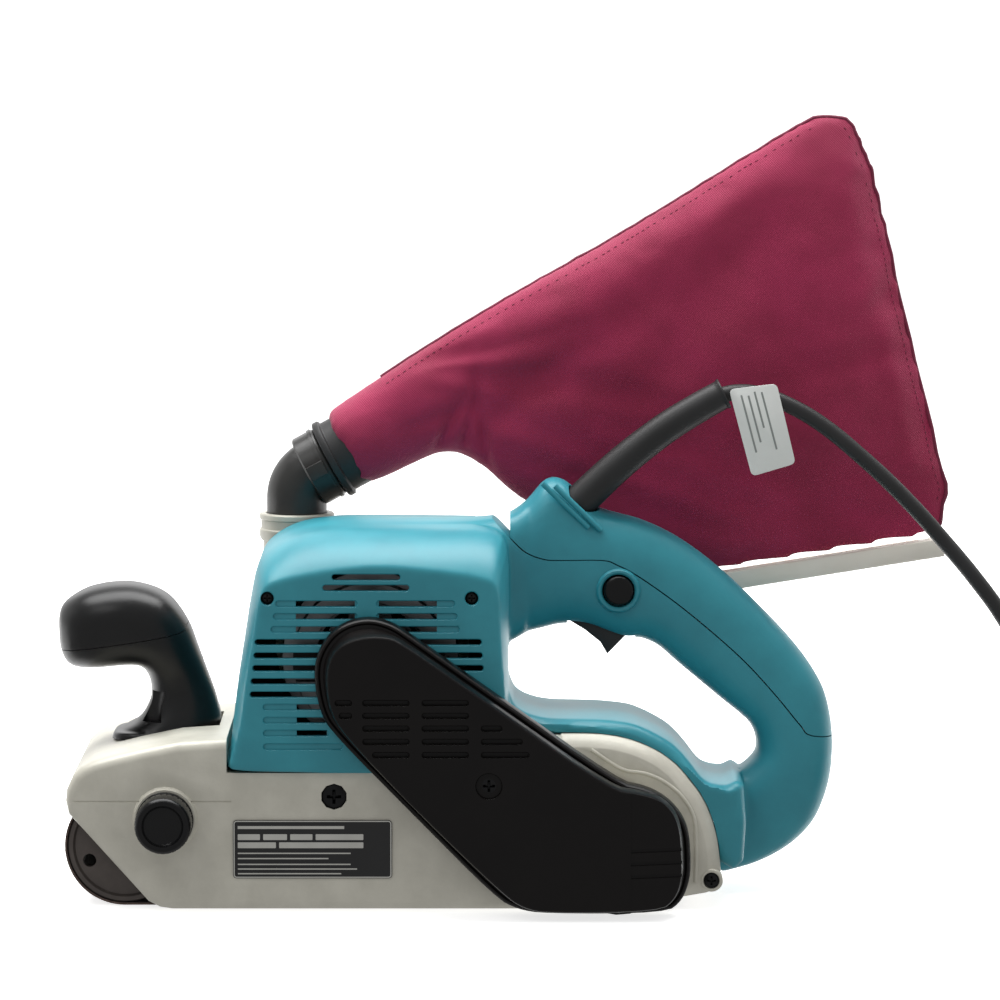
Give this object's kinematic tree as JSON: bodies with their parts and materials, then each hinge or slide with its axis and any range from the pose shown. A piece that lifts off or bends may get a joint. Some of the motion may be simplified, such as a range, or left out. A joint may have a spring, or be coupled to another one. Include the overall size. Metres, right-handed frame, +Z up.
{
  "type": "belt sander",
  "caption": "Handheld belt sander with two rollers, sole plate, side drive cover, D-shaped rear handle, front grip, swivelling dust bag and power cord.",
  "frame": {"origin": "middle of the sanding face, on the underside of the belt", "axes": "+X towards the rear handle, -Y towards the drive-belt cover, +Z up"},
  "size_m": [0.5837, 0.1864, 0.3524],
  "materials": {
    "casting": "satin painted casting",
    "teal_shell": "satin",
    "black_plastic": "semi-gloss",
    "dark_plastic": "matt",
    "steel": "machined",
    "copper": "machined",
    "rubber": "matt",
    "abrasive": "gritty",
    "cloth": "woven",
    "cream_plastic": "satin",
    "tag_plastic": "satin",
    "cork": "matt",
    "graphite": "satin",
    "screw_black": "blackened"
  },
  "bodies": {
    "chassis": {"belt_cover": "black_plastic", "belt_cover_screw": "screw_black", "brush_holder_front": "dark_plastic", "brush_holder_rear": "dark_plastic", "carbon_brush_front": "graphite", "carbon_brush_rear": "graphite", "coil_tie": "dark_plastic", "cord": "rubber", "cord_coil": "rubber", "cord_guard": "rubber", "cord_tag": "tag_plastic", "cork_pad": "cork", "drive_belt": "rubber", "fan_cover": "casting", "fan_cover_screw": "screw_black", "fan_housing": "casting", "field_core": "steel", "front_grip_body": "black_plastic", "front_grip_cap": "black_plastic", "front_grip_screw": "screw_black", "graphite_sheet": "graphite", "handle_cover": "teal_shell", "handle_screw_lower": "screw_black", "handle_screw_upper": "screw_black", "housing_screw_front": "screw_black", "housing_screw_rear": "screw_black", "main_frame": "casting", "motor_bearing_far": "steel", "motor_bearing_near": "steel", "motor_housing": "teal_shell", "nameplate": "black_plastic", "platen": "steel", "platen_screw_front": "screw_black", "platen_screw_rear": "screw_black", "plug": "rubber", "rear_bearing": "steel", "rear_guard": "casting", "rear_screw": "screw_black", "side_screw": "screw_black", "switch_body": "dark_plastic", "tension_spring": "steel"},
    "rear_drum": {"rear_roller": "steel", "rear_roller_sleeve": "rubber", "large_pulley": "steel"},
    "rotor": {"armature": "steel", "commutator": "copper", "cooling_fan": "dark_plastic", "dust_impeller": "dark_plastic", "small_pulley": "steel"},
    "carriage": {"front_carriage": "steel"},
    "front_drum": {"front_roller": "steel"},
    "lever": {"tension_lever": "steel"},
    "abrasive_belt": {"sanding_belt": "abrasive"},
    "knob": {"tracking_knob": "black_plastic"},
    "trigger_key": {"trigger": "dark_plastic"},
    "lock_key": {"lock_button": "black_plastic"},
    "dust_line": {"dust_elbow": "black_plastic", "bag_cuff": "dark_plastic", "dust_bag": "cloth"},
    "rail": {"bag_rail": "cream_plastic"}
  },
  "joints": [
    {"name": "rear_roller_spin", "type": "hinge", "parent": "chassis", "child": "rear_drum", "pos_m": [0.1109, 0, 0.027], "axis": [0, 1, 0], "continuous": true},
    {"name": "armature_spin", "type": "hinge", "parent": "chassis", "child": "rotor", "pos_m": [-0.0005, 0, 0.11], "axis": [0, 1, 0], "continuous": true},
    {"name": "carriage_slide", "type": "slide", "parent": "chassis", "child": "carriage", "axis": [1, 0, 0], "range_m": [0, 0.009], "deforming": ["tension_spring"]},
    {"name": "front_roller_spin", "type": "hinge", "parent": "carriage", "child": "front_drum", "pos_m": [-0.1109, 0, 0.027], "axis": [0, 1, 0], "continuous": true},
    {"name": "tension_lever_swing", "type": "hinge", "parent": "chassis", "child": "lever", "pos_m": [-0.045, 0.0445, 0.027], "axis": [0, 0, 1], "range_deg": [0, 70]},
    {"name": "belt_removal", "type": "slide", "parent": "chassis", "child": "abrasive_belt", "axis": [0, 1, 0], "range_m": [0, 0.112]},
    {"name": "tracking_knob_turn", "type": "hinge", "parent": "chassis", "child": "knob", "pos_m": [-0.0915, -0.08, 0.0421], "axis": [0, 1, 0], "range_deg": [-180, 180]},
    {"name": "trigger_pull", "type": "hinge", "parent": "chassis", "child": "trigger_key", "pos_m": [0.094, 0, 0.1295], "axis": [0, -1, 0], "range_deg": [0, 9], "stiffness_Nm_per_rad": 0.8, "springref_deg": -5.73},
    {"name": "lock_press", "type": "slide", "parent": "chassis", "child": "lock_key", "axis": [0, 1, 0], "range_m": [0, 0.003], "stiffness_N_per_m": 300, "springref_m": -0.001},
    {"name": "dust_swivel", "type": "hinge", "parent": "chassis", "child": "dust_line", "pos_m": [-0.0359, 0.038, 0.165], "axis": [0, 0, 1], "range_deg": [0, 160]},
    {"name": "bag_rail_slide", "type": "slide", "parent": "dust_line", "child": "rail", "axis": [0.9876, 0, 0.157], "range_m": [0, 0.15]}
  ],
  "couplings": [
    {"joint": "armature_spin", "follows": "rear_roller_spin", "ratio": 4.5},
    {"joint": "front_roller_spin", "follows": "rear_roller_spin", "ratio": 1},
    {"joint": "tension_lever_swing", "follows": "carriage_slide", "rad_per_m": 135.75}
  ]
}
